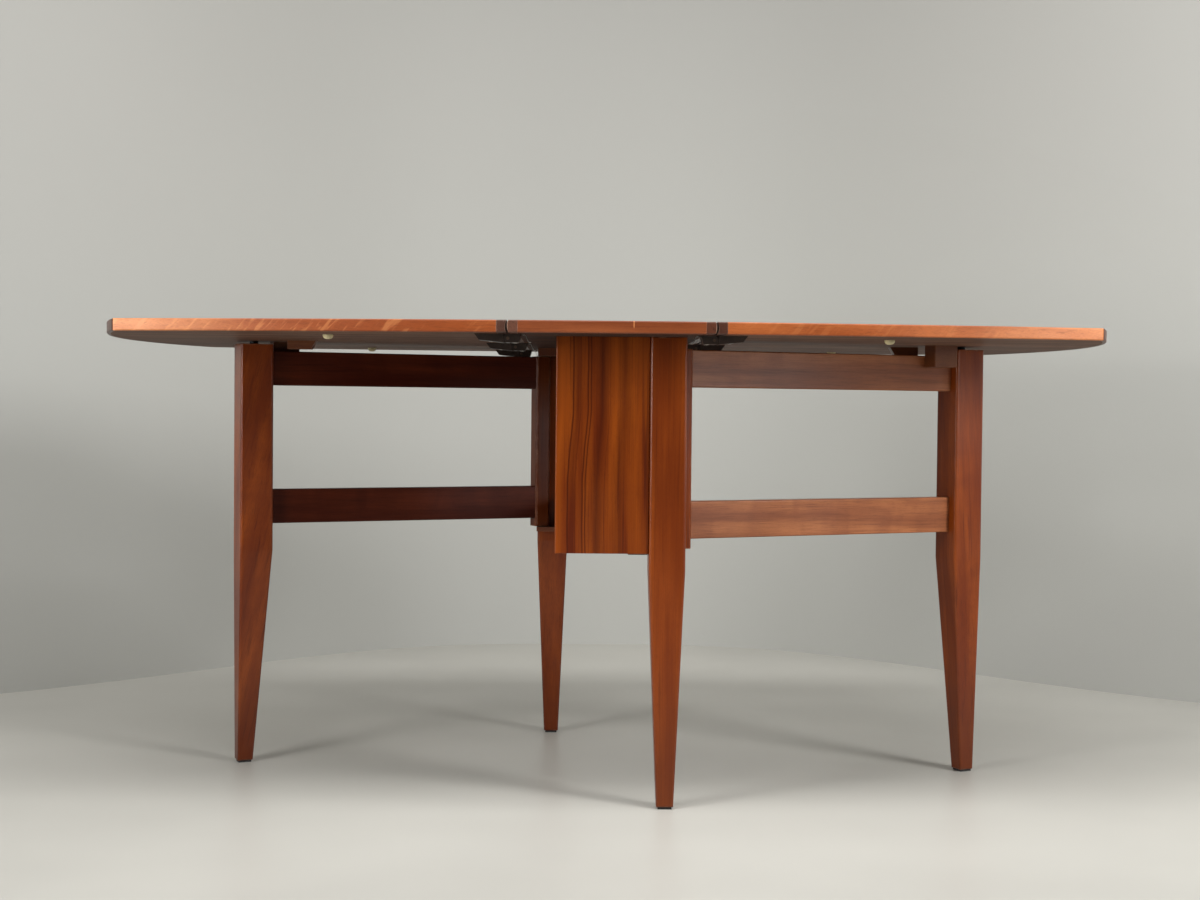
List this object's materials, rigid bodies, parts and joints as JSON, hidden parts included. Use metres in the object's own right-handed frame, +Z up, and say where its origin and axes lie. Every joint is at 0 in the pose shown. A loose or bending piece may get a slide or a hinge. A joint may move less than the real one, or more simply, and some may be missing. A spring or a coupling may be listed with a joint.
{
  "type": "drop-leaf dining table",
  "caption": "Drop-leaf dining table with bowed edges; a narrow fixed centre carries hinged leaves that rest on swinging gate legs.",
  "frame": {"origin": "on the floor, at the middle of the open table", "axes": "+X along the open length, +Z up; the front panel with the fixed leg on its right faces -Y"},
  "size_m": [1.603, 0.868, 0.73],
  "materials": {
    "top_wood": "satin",
    "edge_wood": "satin",
    "lipping_wood": "satin",
    "panel_wood": "satin",
    "leg_wood": "satin",
    "gate_wood": "satin",
    "frame_wood": "satin",
    "stop_wood": "satin",
    "hinge_metal": "satin",
    "pin_steel": "brushed",
    "glide_plastic": "matte",
    "peg_plastic": "matte",
    "buffer_rubber": "matte"
  },
  "bodies": {
    "frame": {"centre_board": "top_wood", "centre_front_edging": "edge_wood", "centre_back_edging": "edge_wood", "left_centre_lipping": "lipping_wood", "right_centre_lipping": "lipping_wood", "front_panel": "panel_wood", "back_panel": "panel_wood", "front_fixed_leg": "leg_wood", "back_fixed_leg": "leg_wood", "front_fixed_leg_glide": "glide_plastic", "back_fixed_leg_glide": "glide_plastic", "left_upper_frame_rail": "frame_wood", "right_upper_frame_rail": "frame_wood", "left_lower_frame_rail": "frame_wood", "right_lower_frame_rail": "frame_wood", "left_lower_pivot_bearer": "frame_wood", "right_lower_pivot_bearer": "frame_wood", "left_upper_pivot_bearer": "frame_wood", "right_upper_pivot_bearer": "frame_wood", "left_hinge_plates": "hinge_metal", "right_hinge_plates": "hinge_metal", "left_hinge_pins": "pin_steel", "right_hinge_pins": "pin_steel"},
    "left_leaf": {"left_leaf_board": "top_wood", "left_leaf_edging": "edge_wood", "left_leaf_lipping": "lipping_wood", "left_hinge_arms": "hinge_metal", "left_gate_stop": "stop_wood", "left_gate_stop_batten": "stop_wood", "left_leaf_front_buffer": "buffer_rubber", "left_leaf_back_buffer": "buffer_rubber"},
    "left_gate": {"left_gate_post": "gate_wood", "left_gate_upper_rail": "gate_wood", "left_gate_lower_rail": "gate_wood", "left_gate_leg": "leg_wood", "left_gate_leg_glide": "glide_plastic", "left_gate_leg_peg": "peg_plastic", "left_gate_lower_pivot": "pin_steel", "left_gate_upper_pivot": "pin_steel"},
    "right_leaf": {"right_leaf_board": "top_wood", "right_leaf_edging": "edge_wood", "right_leaf_lipping": "lipping_wood", "right_hinge_arms": "hinge_metal", "right_gate_stop": "stop_wood", "right_gate_stop_batten": "stop_wood", "right_leaf_front_buffer": "buffer_rubber", "right_leaf_back_buffer": "buffer_rubber"},
    "right_gate": {"right_gate_post": "gate_wood", "right_gate_upper_rail": "gate_wood", "right_gate_lower_rail": "gate_wood", "right_gate_leg": "leg_wood", "right_gate_leg_glide": "glide_plastic", "right_gate_leg_peg": "peg_plastic", "right_gate_lower_pivot": "pin_steel", "right_gate_upper_pivot": "pin_steel"}
  },
  "joints": [
    {"name": "left_leaf_lift", "type": "hinge", "parent": "frame", "child": "left_leaf", "pos_m": [-0.151, 0, 0.7055], "axis": [0, 1, 0], "range_deg": [0, 4]},
    {"name": "left_gate_swing", "type": "hinge", "parent": "frame", "child": "left_gate", "pos_m": [-0.112, 0.239, 0.55], "axis": [0, 0, 1], "range_deg": [0, 66.2]},
    {"name": "right_leaf_lift", "type": "hinge", "parent": "frame", "child": "right_leaf", "pos_m": [0.151, 0, 0.7055], "axis": [0, -1, 0], "range_deg": [0, 4]},
    {"name": "right_gate_swing", "type": "hinge", "parent": "frame", "child": "right_gate", "pos_m": [0.112, -0.239, 0.55], "axis": [0, 0, 1], "range_deg": [0, 66.2]}
  ]
}
